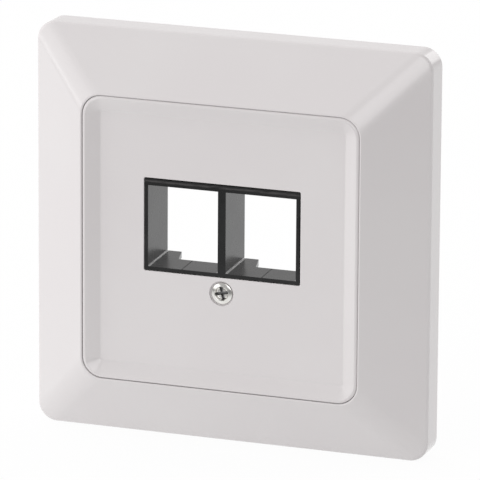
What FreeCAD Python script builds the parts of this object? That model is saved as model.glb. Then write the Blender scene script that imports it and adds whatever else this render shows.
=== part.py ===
"""A two-port keystone faceplate for a flush wall box, in millimetres.

X runs to the right, Y into the wall and Z up.  The wall is the plane Y = 0, and the origin lies midway
between the box screws.  Every size called a "front" is a distance in front of the wall, so it is a
negative Y.  The steel ring is screwed to the box, the keystone carrier is riveted to the ring, and one
screw draws the centre plate and the cover frame against them.
"""

import FreeCAD, Part
import math
import os

import Sketcher

V = FreeCAD.Vector

SIZES = [
    # cover frame
    ("frame_wide", 80.0, "side of the cover frame"),
    ("frame_corner", 3.7, "corner radius of the cover frame"),
    ("frame_edge", 5.7, "depth of the upright edge on the wall"),
    ("frame_front", 12.8, "lip of the cover frame"),
    ("frame_wall", 2.0, "wall at the upright edge"),
    ("shoulder_round", 1.0, "rounding between the edge and the slope"),
    ("lip_land", 0.5, "flat lip beside the opening"),
    ("lip_bevel", 0.2, "bevel of the lip"),
    ("lip_wall", 1.6, "wall round the opening"),
    ("hollow_front", 10.5, "bottom of the hollow behind the slope"),
    ("hollow_step", 1.15, "start of the hollow's slope behind that of the slope outside"),
    ("ledge_front", 8.7, "ledge that the centre plate presses on"),
    ("ledge_thick", 1.4, "thickness of the ledge"),
    ("ledge_reach", 1.9, "reach of the ledge into the opening"),
    ("gusset_thick", 1.2, "thickness of a gusset behind the slope"),
    ("gusset_place", 16.0, "gussets from the middle of a side"),
    ("gusset_clear", 0.8, "space between the gussets and the ring"),
    ("gusset_bury", 0.6, "run of a gusset into the walls it joins"),
    # centre plate
    ("plate_wide", 55.8, "side of the centre plate"),
    ("plate_corner", 3.9, "corner radius of the centre plate"),
    ("plate_gap", 0.22, "gap between the plate and the frame"),
    ("plate_thick", 1.8, "thickness of the plate's field"),
    ("rim_land", 0.55, "width of the plate's rim"),
    ("rim_bevel", 0.2, "bevel of the plate's rim"),
    ("dish_wide", 2.6, "width of the slope inside the rim"),
    ("dish_deep", 1.6, "depth of the field below the rim"),
    ("dish_blend", 1.8, "hollow rounding between slope and field"),
    ("skirt_wall", 1.5, "wall of the skirt behind the rim"),
    ("collar_wall", 1.3, "wall of the collar behind the aperture"),
    ("collar_deep", 2.2, "depth of the collar behind the field"),
    ("plate_rib", 1.1, "thickness of a rib behind the field"),
    ("plate_rib_deep", 1.6, "depth of a rib behind the field"),
    ("boss_radius", 2.9, "boss round the centre screw"),
    ("boss_clear", 0.4, "space between the plate's boss and the carrier's"),
    # keystone carrier
    ("port_wide", 14.2, "clear width of a port"),
    ("port_high", 15.7, "clear height of a port at its mouth"),
    ("divider", 1.6, "wall between the ports"),
    ("side_wall", 0.7, "outer wall of the ports"),
    ("roof_wall", 1.65, "wall above the ports"),
    ("floor_wall", 0.7, "wall below the ports"),
    ("floor_rise", 0.5, "rise of the port's floor towards the back"),
    ("carrier_fit", 0.15, "gap between the carrier and the aperture"),
    ("carrier_middle", 3.2, "middle of the carrier above the origin"),
    ("carrier_deep", 10.6, "depth of the port walls"),
    ("floor_deep", 6.0, "depth of the floor between the tabs"),
    ("inner_tab", 1.6, "width of the floor tab by the right wall"),
    ("outer_tab", 4.0, "width of the floor tab by the left wall"),
    ("tab_taper", 1.1, "narrowing of a tab towards its tip"),
    ("hook_room", 3.4, "room below the floor for a module's hook"),
    ("latch_wide", 10.4, "window for a module's latch"),
    ("latch_room", 3.6, "room above the port for a module's latch"),
    ("latch_deep", 4.4, "depth of the roof in front of the latch window"),
    ("flange_side", 3.2, "flange beyond the rivets, at each side"),
    ("flange_lap", 2.5, "flange beyond the ring's window, above and below"),
    ("flange_corner", 2.0, "corner radius of the flange"),
    ("flange_thick", 1.5, "thickness of the flange"),
    ("lug_radius", 3.7, "lug round the threaded insert"),
    ("lug_front", 6.3, "face of the lug"),
    ("lug_deep", 6.5, "length of the lug"),
    # support ring
    ("ring_inset", 2.5, "space between the ring and the frame's wall"),
    ("ring_corner", 8.0, "corner radius of the support ring"),
    ("ring_thick", 1.2, "thickness of the sheet"),
    ("window_clear", 0.8, "space between the ring's window and the carrier"),
    ("window_corner", 2.0, "corner radius of the window"),
    ("box_spacing", 60.0, "distance between opposite box screws"),
    ("slot_wide", 3.8, "width of a slot"),
    ("slot_long", 7.0, "length of a slot, end to end"),
    # centre screw and its insert
    ("screw_drop", 9.1, "centre screw below the origin"),
    ("screw_radius", 1.45, "shank of the centre screw"),
    ("screw_long", 12.0, "screw from the head's edge to its tip"),
    ("screw_point", 0.4, "chamfer at the screw's tip"),
    ("head_radius", 2.1, "head of the centre screw"),
    ("head_dome", 0.75, "height of the head's dome"),
    ("sink_radius", 2.65, "countersink at the plate's face"),
    ("hole_clear", 0.2, "gap between the shank and the plate's hole"),
    ("cross_long", 2.6, "length of the cross recess"),
    ("cross_wide", 0.7, "width of an arm of the recess"),
    ("cross_deep", 1.3, "depth of the recess below the head's edge"),
    ("thread_clear", 0.05, "gap between the shank and the thread"),
    ("insert_radius", 2.25, "body of the threaded insert"),
    ("insert_fit", 0.03, "gap between the insert and its hole"),
    ("insert_flange", 3.1, "radius of the insert's flange"),
    ("insert_flange_thick", 0.6, "thickness of the insert's flange"),
    ("insert_short", 0.2, "insert below the face of the lug"),
    # rivets
    ("rivet_margin", 3.3, "rivets beyond the ring's window"),
    ("rivet_up", 19.0, "rivets, top to bottom"),
    ("rivet_radius", 1.5, "shank of a rivet"),
    ("rivet_fit", 0.05, "gap between a rivet and its hole"),
    ("rivet_head", 2.7, "radius of a rivet's head"),
    ("rivet_head_high", 0.9, "height of a rivet's head"),
    ("rivet_clinch", 2.2, "radius of a rivet's clinched end"),
    ("rivet_clinch_high", 0.6, "height of a rivet's clinched end"),
]

# Sizes that follow from the driving ones and are used by more than one piece.
OPENING = "(sizes.plate_wide + 2 * sizes.plate_gap)"
OPENING_CORNER = "(sizes.plate_corner + sizes.plate_gap)"
FIELD_FRONT = "(sizes.frame_front - sizes.dish_deep)"
FIELD_BACK = f"({FIELD_FRONT} - sizes.plate_thick)"
SKIRT_INSIDE = "(sizes.plate_wide - 2 * sizes.skirt_wall)"
CARRIER_WIDE = "(2 * sizes.port_wide + sizes.divider + 2 * sizes.side_wall)"
CARRIER_HIGH = "(sizes.port_high + sizes.floor_wall + sizes.roof_wall)"
CARRIER_BOTTOM = f"(sizes.carrier_middle - {CARRIER_HIGH} / 2)"
CARRIER_TOP = f"(sizes.carrier_middle + {CARRIER_HIGH} / 2)"
CARRIER_BACK = f"({FIELD_FRONT} - sizes.carrier_deep)"
FLANGE_FRONT = "(sizes.ring_thick + sizes.flange_thick)"
LUG_BACK = "(sizes.lug_front - sizes.lug_deep)"
PORT_ROOF = f"({CARRIER_TOP} - sizes.roof_wall)"
WINDOW_TOP = f"({PORT_ROOF} + sizes.latch_room + sizes.window_clear)"
WINDOW_BOTTOM = "(-sizes.screw_drop - sizes.lug_radius - sizes.window_clear)"
WINDOW_HIGH = f"({WINDOW_TOP} - {WINDOW_BOTTOM})"
WINDOW_MIDDLE = f"(({WINDOW_TOP} + {WINDOW_BOTTOM}) / 2)"
WINDOW_WIDE = f"({CARRIER_WIDE} + 2 * sizes.window_clear)"
RIVET_X = f"({WINDOW_WIDE} / 2 + sizes.rivet_margin)"
HEAD_FRONT = f"({FIELD_FRONT} - (sizes.sink_radius - sizes.head_radius))"

FACING = "XZ_Plane"
SIDEWAYS = "YZ_Plane"
LEVEL = "XY_Plane"


def make_sheet(doc):
    """Put the driving dimensions in a sheet, one named cell each."""
    sheet = doc.addObject("Spreadsheet::Sheet", "sizes")
    for row, (name, value, note) in enumerate(SIZES, start=1):
        sheet.set(f"A{row}", note)
        sheet.set(f"B{row}", str(value))
        sheet.setAlias(f"B{row}", name)
    doc.recompute()


def new_body(doc, name):
    """Start a piece; its label is the name of its file."""
    body = doc.addObject("PartDesign::Body", name)
    body.Label = name
    return body


def sketch_on(body, name, plane, level="0"):
    """Start a sketch on one of the body's own planes, moved along the plane's normal."""
    support = next(item for item in body.Origin.OriginFeatures if item.Role == plane)
    sketch = body.newObject("Sketcher::SketchObject", f"{body.Name}_{name}")
    sketch.AttachmentSupport = [(support, "")]
    sketch.MapMode = "FlatFace"
    sketch.setExpression("AttachmentOffset.Base.z", level)
    body.Document.recompute()
    return sketch


def bind(sketch, constraint, size):
    """Add a constraint whose value is an expression of the sheet's sizes."""
    index = sketch.addConstraint(Sketcher.Constraint(*constraint, sketch.evalExpression(size)))
    sketch.renameConstraint(index, f"size_{index}")
    sketch.setExpression(f"Constraints.size_{index}", size)


def rounded_rectangle(sketch, wide, high, corner, middle="0"):
    """Draw a rectangle with round corners, its middle raised above the sketch's origin."""
    half_wide = sketch.evalExpression(wide) / 2
    half_high = sketch.evalExpression(high) / 2
    radius = sketch.evalExpression(corner)
    up = sketch.evalExpression(middle)
    first = sketch.GeometryCount
    right, top = half_wide - radius, half_high - radius
    lines = [
        (V(right, up - half_high), V(-right, up - half_high)),
        (V(-half_wide, up - top), V(-half_wide, up + top)),
        (V(-right, up + half_high), V(right, up + half_high)),
        (V(half_wide, up + top), V(half_wide, up - top)),
    ]
    centres = [(-right, up - top, 2), (-right, up + top, 1), (right, up + top, 0), (right, up - top, 3)]
    for start, end in lines:
        sketch.addGeometry(Part.LineSegment(start, end))
    for x, y, quarter in centres:
        circle = Part.Circle(V(x, y), V(0, 0, 1), radius)
        begin = quarter * math.pi / 2
        sketch.addGeometry(Part.ArcOfCircle(circle, begin, begin + math.pi / 2))
    # Each line runs clockwise into the next arc, and each arc is drawn anticlockwise.
    for side in range(4):
        line, arc, following = first + side, first + 4 + side, first + (side + 1) % 4
        sketch.addConstraint(Sketcher.Constraint("Tangent", line, 2, arc, 2))
        sketch.addConstraint(Sketcher.Constraint("Tangent", arc, 1, following, 1))
        sketch.addConstraint(Sketcher.Constraint("Vertical" if side % 2 else "Horizontal", line))
    for side in range(1, 4):
        sketch.addConstraint(Sketcher.Constraint("Equal", first + 4, first + 4 + side))
    bind(sketch, ("Radius", first + 4), corner)
    bind(sketch, ("DistanceX", first + 1, 1, first + 3, 2), wide)
    bind(sketch, ("DistanceY", first, 1, first + 2, 2), high)
    bind(sketch, ("DistanceX", -1, 1, first + 3, 2), f"{wide} / 2")
    bind(sketch, ("DistanceY", -1, 1, first + 2, 2), f"{middle} + {high} / 2")


def polygon(sketch, corners):
    """Draw a closed outline through corners given as pairs of expressions."""
    places = [V(sketch.evalExpression(x), sketch.evalExpression(y)) for x, y in corners]
    first = sketch.GeometryCount
    count = len(places)
    for index, place in enumerate(places):
        sketch.addGeometry(Part.LineSegment(place, places[(index + 1) % count]))
    for index in range(count):
        following = first + (index + 1) % count
        sketch.addConstraint(Sketcher.Constraint("Coincident", first + index, 2, following, 1))
    for index, (x, y) in enumerate(corners):
        bind(sketch, ("DistanceX", -1, 1, first + index, 1), x)
        bind(sketch, ("DistanceY", -1, 1, first + index, 1), y)


def disc(sketch, radius, x="0", y="0"):
    """Draw a circle at a place given by expressions."""
    place = V(sketch.evalExpression(x), sketch.evalExpression(y))
    index = sketch.addGeometry(Part.Circle(place, V(0, 0, 1), sketch.evalExpression(radius)))
    bind(sketch, ("Radius", index), radius)
    bind(sketch, ("DistanceX", -1, 1, index, 3), x)
    bind(sketch, ("DistanceY", -1, 1, index, 3), y)


def extrude(body, kind, name, sketch, length, reverse=False, centred=False):
    """Pad or pocket a sketch by a length given as an expression."""
    feature = body.newObject(f"PartDesign::{kind}", f"{body.Name}_{name}")
    feature.Profile = sketch
    feature.Reversed = reverse
    feature.Midplane = centred
    feature.setExpression("Length", length)
    body.Document.recompute()
    return feature


def corner_band(sketch, half, corner, band, bevelled):
    """Draw an angle-shaped band outside the upper right corner of a rounded or bevelled square."""
    inner, cut = sketch.evalExpression(half), sketch.evalExpression(corner)
    outer = inner + sketch.evalExpression(band)
    places = [
        V(inner - cut, inner),
        V(-outer, inner),
        V(-outer, outer),
        V(outer, outer),
        V(outer, -outer),
        V(inner, -outer),
        V(inner, inner - cut),
    ]
    for start, end in zip(places, places[1:]):
        sketch.addGeometry(Part.LineSegment(start, end))
    for line in (0, 2, 4):
        sketch.addConstraint(Sketcher.Constraint("Horizontal", line))
    for line in (1, 3, 5):
        sketch.addConstraint(Sketcher.Constraint("Vertical", line))
    for line in range(5):
        sketch.addConstraint(Sketcher.Constraint("Coincident", line, 2, line + 1, 1))
    if bevelled:
        sketch.addGeometry(Part.LineSegment(places[-1], places[0]))
        sketch.addConstraint(Sketcher.Constraint("Coincident", 5, 2, 6, 1))
        sketch.addConstraint(Sketcher.Constraint("Coincident", 6, 2, 0, 1))
        bind(sketch, ("DistanceX", -1, 1, 6, 2), f"{half} - {corner}")
        bind(sketch, ("DistanceY", -1, 1, 6, 1), f"{half} - {corner}")
    else:
        circle = Part.Circle(V(inner - cut, inner - cut), V(0, 0, 1), cut)
        sketch.addGeometry(Part.ArcOfCircle(circle, 0, math.pi / 2))
        sketch.addConstraint(Sketcher.Constraint("Tangent", 5, 2, 6, 1))
        sketch.addConstraint(Sketcher.Constraint("Tangent", 6, 2, 0, 1))
        bind(sketch, ("Radius", 6), corner)
    bind(sketch, ("DistanceY", -1, 1, 0, 1), half)
    bind(sketch, ("DistanceX", -1, 1, 5, 2), half)
    bind(sketch, ("DistanceX", -1, 1, 3, 1), f"{half} + {band}")
    bind(sketch, ("DistanceY", -1, 1, 3, 1), f"{half} + {band}")
    bind(sketch, ("DistanceX", -1, 1, 1, 1), f"-({half} + {band})")
    bind(sketch, ("DistanceY", -1, 1, 4, 2), f"-({half} + {band})")


def slopes(body, name, level, half, corner, run, rise, forward=True, bevelled=False):
    """Cut four straight slopes that start at a level and lean inwards by run over a height of rise."""
    sketch = sketch_on(body, f"{name}_band", FACING, level)
    corner_band(sketch, half, corner, f"2 * {run}", bevelled)
    cut = body.newObject("PartDesign::Pocket", f"{body.Name}_{name}_corner")
    cut.Profile = sketch
    cut.UseCustomVector = True
    cut.AlongSketchNormal = True
    cut.setExpression("Direction.x", f"-{run}")
    cut.setExpression("Direction.y", f"-{rise}" if forward else rise)
    cut.setExpression("Direction.z", f"-{run}")
    cut.setExpression("Length", rise)
    body.Document.recompute()
    copy_round(body, name, [cut], 4)


def take_away(body, name, tool):
    """Cut another body's shape out of this one."""
    cut = body.newObject("PartDesign::Boolean", f"{body.Name}_{name}")
    cut.setObjects([tool])
    cut.Type = "Cut"
    body.Document.recompute()
    return cut


def dress(body, kind, name, size, chosen):
    """Fillet or chamfer the edges for which chosen(edge) is true."""
    base = body.Tip
    edges = [f"Edge{n}" for n, edge in enumerate(base.Shape.Edges, start=1) if chosen(edge)]
    feature = body.newObject(f"PartDesign::{kind}", f"{body.Name}_{name}")
    feature.Base = (base, edges)
    feature.setExpression("Radius" if kind == "Fillet" else "Size", size)
    body.Document.recompute()
    return feature


def copy_round(body, name, features, count):
    """Repeat features evenly round the Y axis."""
    axis = next(item for item in body.Origin.OriginFeatures if item.Role == "Y_Axis")
    pattern = body.newObject("PartDesign::PolarPattern", f"{body.Name}_{name}")
    pattern.Originals = features
    pattern.Axis = (axis, [""])
    pattern.Angle = 360
    pattern.Occurrences = count
    body.Tip = pattern
    body.Document.recompute()
    return pattern


def turn(body, name, corners):
    """Turn a profile of radius and front pairs about the Y axis; the piece is then moved to its place."""
    sketch = sketch_on(body, f"{name}_profile", LEVEL)
    polygon(sketch, [(radius, f"-({front})") for radius, front in corners])
    axis = next(item for item in body.Origin.OriginFeatures if item.Role == "Y_Axis")
    feature = body.newObject("PartDesign::Revolution", f"{body.Name}_{name}")
    feature.Profile = sketch
    feature.ReferenceAxis = (axis, [""])
    feature.Angle = 360
    body.Document.recompute()
    return feature


def edge_level(edge):
    """Distance of an edge in front of the wall, or None where it isn't at one level."""
    box = edge.BoundBox
    return -box.YMin if box.YLength < 1e-6 else None


def at_level(front, inside=None, outside=None):
    """Choose edges that lie at one level, within or beyond a half width from the middle."""

    def chosen(edge):
        level = edge_level(edge)
        if level is None or abs(level - front) > 1e-4:
            return False
        box = edge.BoundBox
        reach = max(abs(box.XMin), abs(box.XMax), abs(box.ZMin), abs(box.ZMax))
        return (inside is None or reach < inside + 1e-4) and (outside is None or reach > outside - 1e-4)

    return chosen


def value(doc, size):
    """Read an expression of the sheet's sizes as a number."""
    return doc.getObject("sizes").evalExpression(size)


def cover_frame(doc):
    """The outer frame: a moulded shell with four slopes, a lip wall and a ledge for the plate."""
    lip = f"({OPENING} / 2 + sizes.lip_land)"
    run = f"(sizes.frame_wide / 2 - {lip})"
    rise = "(sizes.frame_front - sizes.frame_edge)"

    # The hollow follows the upright edge and then runs parallel to the slopes outside it.
    hollow = new_body(doc, "frame_hollow")
    mouth = "(sizes.frame_wide / 2 - sizes.frame_wall)"
    bend = "(sizes.frame_edge - sizes.hollow_step)"
    mouth_corner = "max(sizes.frame_corner - sizes.frame_wall; 0.5)"
    foot = sketch_on(hollow, "foot", FACING)
    bar(foot, f"2 * {mouth}", f"2 * {mouth}", "0", "0")
    extrude(hollow, "Pad", "block", foot, "sizes.hollow_front")
    height = f"(sizes.hollow_front - {bend})"
    lean = f"({run} * {height} / {rise})"
    slopes(hollow, "slopes", bend, mouth, mouth_corner, lean, height, bevelled=True)

    body = new_body(doc, "cover_frame")
    foot = sketch_on(body, "foot", FACING)
    rounded_rectangle(foot, "sizes.frame_wide", "sizes.frame_wide", "sizes.frame_corner")
    extrude(body, "Pad", "block", foot, "sizes.frame_front")
    slopes(body, "slopes", "sizes.frame_edge", "sizes.frame_wide / 2", "sizes.frame_corner", run, rise)
    shoulder = at_level(value(doc, "sizes.frame_edge"))
    dress(body, "Fillet", "shoulder", "sizes.shoulder_round", shoulder)
    take_away(body, "hollow", hollow)

    ledge_back = "(sizes.ledge_front - sizes.ledge_thick)"
    wall = sketch_on(body, "lip_wall", FACING, ledge_back)
    block = f"({OPENING} / 2 + sizes.lip_wall)"
    rounded_rectangle(wall, f"2 * {block}", f"2 * {block}", f"{OPENING_CORNER} + sizes.lip_wall")
    extrude(body, "Pad", "wall", wall, f"sizes.hollow_front - {ledge_back}")

    reach = f"({OPENING} - 2 * sizes.ledge_reach)"
    through = sketch_on(body, "ledge_opening", FACING, "sizes.frame_front")
    rounded_rectangle(through, reach, reach, f"{OPENING_CORNER} - sizes.ledge_reach / 2")
    extrude(body, "Pocket", "ledge_hole", through, "sizes.frame_front")
    opening = sketch_on(body, "opening", FACING, "sizes.frame_front")
    rounded_rectangle(opening, OPENING, OPENING, OPENING_CORNER)
    extrude(body, "Pocket", "plate_hole", opening, "sizes.frame_front - sizes.ledge_front")
    lip_edges = at_level(value(doc, "sizes.frame_front"), inside=value(doc, f"{OPENING} / 2"))
    dress(body, "Chamfer", "lip", "sizes.lip_bevel", lip_edges)

    # Gussets stand between the wall round the opening and the back of the slope.
    start = f"({block} - sizes.gusset_bury)"
    back = "(sizes.ring_thick + sizes.gusset_clear)"
    buried = f"({mouth} + sizes.gusset_bury)"
    top = f"({bend} + ({buried} - {start}) * {rise} / {run})"
    gussets = []
    for name, side in (("right", "1"), ("left", "-1")):
        profile = sketch_on(body, f"gusset_{name}", SIDEWAYS, f"{side} * sizes.gusset_place")
        corners = [(f"-{back}", start), (f"-{top}", start), (f"-{bend}", buried), (f"-{back}", buried)]
        polygon(profile, corners)
        thick = "sizes.gusset_thick"
        gussets.append(extrude(body, "Pad", f"gusset_{name}_pad", profile, thick, centred=True))
    copy_round(body, "gussets", gussets, 4)
    return body


def centre_plate(doc):
    """The centre plate: a dished field with an aperture, a skirt, a collar, ribs and a screw boss."""
    dish = new_body(doc, "plate_dish")
    mouth = "(sizes.plate_wide / 2 - sizes.rim_land)"
    corner = "(sizes.plate_corner - sizes.rim_land)"
    mouth_sketch = sketch_on(dish, "mouth", FACING, FIELD_FRONT)
    rounded_rectangle(mouth_sketch, f"2 * {mouth}", f"2 * {mouth}", corner)
    extrude(dish, "Pad", "block", mouth_sketch, "sizes.dish_deep")
    slopes(
        dish,
        "slopes",
        "sizes.frame_front",
        mouth,
        corner,
        "sizes.dish_wide",
        "sizes.dish_deep",
        forward=False,
    )

    body = new_body(doc, "centre_plate")
    outline = sketch_on(body, "outline", FACING, "sizes.ledge_front")
    rounded_rectangle(outline, "sizes.plate_wide", "sizes.plate_wide", "sizes.plate_corner")
    extrude(body, "Pad", "block", outline, "sizes.frame_front - sizes.ledge_front")
    take_away(body, "dish", dish)
    dress(body, "Chamfer", "rim", "sizes.rim_bevel", at_level(value(doc, "sizes.frame_front")))
    dress(body, "Fillet", "dish_blend", "sizes.dish_blend", at_level(value(doc, FIELD_FRONT)))

    skirt_corner = "max(sizes.plate_corner - sizes.skirt_wall; 0.5)"
    inside = sketch_on(body, "skirt_inside", FACING, FIELD_BACK)
    rounded_rectangle(inside, SKIRT_INSIDE, SKIRT_INSIDE, skirt_corner)
    extrude(body, "Pocket", "skirt", inside, f"{FIELD_BACK} - sizes.ledge_front")

    # The collar guides the carrier, which comes through to the face of the field.
    hole_wide = f"({CARRIER_WIDE} + 2 * sizes.carrier_fit)"
    hole_high = f"({CARRIER_HIGH} + 2 * sizes.carrier_fit)"
    collar = sketch_on(body, "collar", FACING, f"{FIELD_BACK} - sizes.collar_deep")
    bar(collar, f"({hole_wide} + 2 * sizes.collar_wall)", f"({hole_high} + 2 * sizes.collar_wall)")
    extrude(body, "Pad", "collar_pad", collar, "sizes.collar_deep + sizes.plate_thick / 2")

    # Ribs run from the collar towards the skirt and stop inside the ledge.
    rib_end = f"({OPENING} / 2 - sizes.ledge_reach - sizes.plate_gap)"
    rib_back = f"({FIELD_BACK} - sizes.plate_rib_deep)"
    rib_deep = "sizes.plate_rib_deep + sizes.plate_thick / 2"
    row = sketch_on(body, "rib_row", FACING, rib_back)
    bar(row, f"(2 * {rib_end})", "sizes.plate_rib")
    extrude(body, "Pad", "rib_row_pad", row, rib_deep)
    column = sketch_on(body, "rib_columns", FACING, rib_back)
    for x in ("sizes.port_wide / 2", "-sizes.port_wide / 2"):
        bar(column, "sizes.plate_rib", f"(2 * {rib_end})", x, "0")
    extrude(body, "Pad", "rib_columns_pad", column, rib_deep)

    boss_back = "(sizes.lug_front + sizes.boss_clear)"
    boss = sketch_on(body, "boss", FACING, boss_back)
    disc(boss, "sizes.boss_radius", "0", "-sizes.screw_drop")
    extrude(body, "Pad", "boss_pad", boss, f"{FIELD_FRONT} - {boss_back} - sizes.plate_thick / 2")

    aperture = sketch_on(body, "aperture", FACING, FIELD_FRONT)
    bar(aperture, hole_wide, hole_high)
    extrude(body, "Pocket", "aperture_hole", aperture, FIELD_FRONT)
    hole = sketch_on(body, "screw_hole", FACING, FIELD_FRONT)
    disc(hole, "sizes.screw_radius + sizes.hole_clear", "0", "-sizes.screw_drop")
    extrude(body, "Pocket", "screw_hole_cut", hole, FIELD_FRONT)
    mouth_edge = near_screw(doc, value(doc, FIELD_FRONT))
    sink = "sizes.sink_radius - sizes.screw_radius - sizes.hole_clear"
    dress(body, "Chamfer", "countersink", sink, mouth_edge)
    return body


def bar(sketch, wide, high, x="0", y="sizes.carrier_middle"):
    """Draw a plain rectangle about a place, or about the middle of the carrier."""
    left, right = f"{x} - {wide} / 2", f"{x} + {wide} / 2"
    low, top = f"{y} - {high} / 2", f"{y} + {high} / 2"
    polygon(sketch, [(left, low), (right, low), (right, top), (left, top)])


def near_screw(doc, front):
    """Choose the round edge of the screw's hole at one level."""
    drop = value(doc, "sizes.screw_drop")
    radius = value(doc, "sizes.screw_radius + sizes.hole_clear")

    def chosen(edge):
        level = edge_level(edge)
        if level is None or abs(level - front) > 1e-4 or not hasattr(edge.Curve, "Radius"):
            return False
        centre = edge.Curve.Center
        return abs(edge.Curve.Radius - radius) < 1e-4 and abs(centre.z + drop) < 1e-4

    return chosen


def keystone_carrier(doc):
    """The dark carrier: two port channels side by side, a flange on the ring and a lug for the insert."""
    body = new_body(doc, "keystone_carrier")
    block = sketch_on(body, "block", FACING, CARRIER_BACK)
    bar(block, CARRIER_WIDE, CARRIER_HIGH)
    extrude(body, "Pad", "block_pad", block, "sizes.carrier_deep")
    flange = sketch_on(body, "flange", FACING, "sizes.ring_thick")
    flange_wide = f"(2 * ({RIVET_X} + sizes.flange_side))"
    flange_high = f"({WINDOW_HIGH} + 2 * sizes.flange_lap)"
    rounded_rectangle(flange, flange_wide, flange_high, "sizes.flange_corner", WINDOW_MIDDLE)
    extrude(body, "Pad", "flange_pad", flange, "sizes.flange_thick")
    lug = sketch_on(body, "lug", FACING, LUG_BACK)
    disc(lug, "sizes.lug_radius", "0", "-sizes.screw_drop")
    extrude(body, "Pad", "lug_pad", lug, "sizes.lug_deep")
    port_channels(body)
    seat = sketch_on(body, "insert_hole", FACING, "sizes.lug_front")
    disc(seat, "sizes.insert_radius + sizes.insert_fit", "0", "-sizes.screw_drop")
    extrude(body, "Pocket", "insert_hole_cut", seat, "sizes.lug_deep")
    rivet_holes(body, FLANGE_FRONT, "sizes.flange_thick")
    return body


def port_channels(body):
    """Cut both ports: a channel with a rising floor, and windows for a module's hook and latch."""
    floor = f"({CARRIER_BOTTOM} + sizes.floor_wall)"
    for name, inner in (("right", "sizes.divider / 2"), ("left", "-sizes.divider / 2 - sizes.port_wide")):
        middle = f"({inner} + sizes.port_wide / 2)"
        channel = sketch_on(body, f"{name}_channel", SIDEWAYS, middle)
        corners = [
            (f"-{FIELD_FRONT}", floor),
            (f"-{CARRIER_BACK}", f"{floor} + sizes.floor_rise"),
            (f"-{CARRIER_BACK}", PORT_ROOF),
            (f"-{FIELD_FRONT}", PORT_ROOF),
        ]
        polygon(channel, corners)
        extrude(body, "Pocket", f"{name}_channel_cut", channel, "sizes.port_wide", centred=True)

        # Two tabs reach the back of the port's walls; the floor between them stops short.
        hook_top = f"({floor} + sizes.floor_rise)"
        hook = sketch_on(body, f"{name}_hook", LEVEL, hook_top)
        floor_end = f"({FIELD_FRONT} - sizes.floor_deep)"
        left, right = f"({inner} + sizes.outer_tab)", f"({inner} + sizes.port_wide - sizes.inner_tab)"
        corners = [
            (left, f"-{floor_end}"),
            (right, f"-{floor_end}"),
            (f"{right} + sizes.tab_taper / 2", f"-{CARRIER_BACK}"),
            (f"{left} - sizes.tab_taper", f"-{CARRIER_BACK}"),
        ]
        polygon(hook, corners)
        depth = "sizes.floor_rise + sizes.floor_wall + sizes.hook_room"
        extrude(body, "Pocket", f"{name}_hook_cut", hook, depth)

        latch_front = f"({FIELD_FRONT} - sizes.latch_deep)"
        latch = sketch_on(body, f"{name}_latch", FACING, latch_front)
        latch_middle = f"({PORT_ROOF} + sizes.latch_room / 2)"
        bar(latch, "sizes.latch_wide", "sizes.latch_room", middle, latch_middle)
        extrude(body, "Pocket", f"{name}_latch_cut", latch, f"{latch_front} - {CARRIER_BACK}")


def rivet_holes(body, front, thick):
    """Drill the four rivet holes through a sheet or flange."""
    holes = sketch_on(body, "rivet_holes", FACING, front)
    for x in (f"-{RIVET_X}", RIVET_X):
        for z in ("-sizes.rivet_up / 2", "sizes.rivet_up / 2"):
            disc(holes, "sizes.rivet_radius + sizes.rivet_fit", x, z)
    extrude(body, "Pocket", "rivet_holes_cut", holes, thick)


def support_ring(doc):
    """The sheet steel ring that is screwed to the wall box through four slots."""
    body = new_body(doc, "support_ring")
    sheet = sketch_on(body, "sheet", FACING)
    side = "(sizes.frame_wide - 2 * (sizes.frame_wall + sizes.ring_inset))"
    rounded_rectangle(sheet, side, side, "sizes.ring_corner")
    extrude(body, "Pad", "sheet_pad", sheet, "sizes.ring_thick")
    window = sketch_on(body, "window", FACING, "sizes.ring_thick")
    rounded_rectangle(window, WINDOW_WIDE, WINDOW_HIGH, "sizes.window_corner", WINDOW_MIDDLE)
    extrude(body, "Pocket", "window_cut", window, "sizes.ring_thick")
    slot = sketch_on(body, "slot", FACING, "sizes.ring_thick")
    long_hole(slot, "sizes.slot_long", "sizes.slot_wide", "sizes.box_spacing / 2")
    cut = extrude(body, "Pocket", "slot_cut", slot, "sizes.ring_thick")
    copy_round(body, "slots", [cut], 4)
    rivet_holes(body, "sizes.ring_thick", "sizes.ring_thick")
    return body


def long_hole(sketch, long, wide, x):
    """Draw a slot that lies along X, centred x to the right of the origin."""
    radius = sketch.evalExpression(wide) / 2
    middle = sketch.evalExpression(x)
    reach = sketch.evalExpression(long) / 2 - radius
    sketch.addGeometry(Part.LineSegment(V(middle - reach, -radius), V(middle + reach, -radius)))
    right = Part.Circle(V(middle + reach, 0), V(0, 0, 1), radius)
    sketch.addGeometry(Part.ArcOfCircle(right, -math.pi / 2, math.pi / 2))
    sketch.addGeometry(Part.LineSegment(V(middle + reach, radius), V(middle - reach, radius)))
    left = Part.Circle(V(middle - reach, 0), V(0, 0, 1), radius)
    sketch.addGeometry(Part.ArcOfCircle(left, math.pi / 2, math.pi * 3 / 2))
    for first in range(4):
        sketch.addConstraint(Sketcher.Constraint("Tangent", first, 2, (first + 1) % 4, 1))
    sketch.addConstraint(Sketcher.Constraint("Horizontal", 0))
    bind(sketch, ("Radius", 1), f"{wide} / 2")
    bind(sketch, ("DistanceX", -1, 1, 1, 3), f"{x} + ({long} - {wide}) / 2")
    bind(sketch, ("DistanceX", -1, 1, 3, 3), f"{x} - ({long} - {wide}) / 2")
    sketch.addConstraint(Sketcher.Constraint("PointOnObject", 1, 3, -1))


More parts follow.
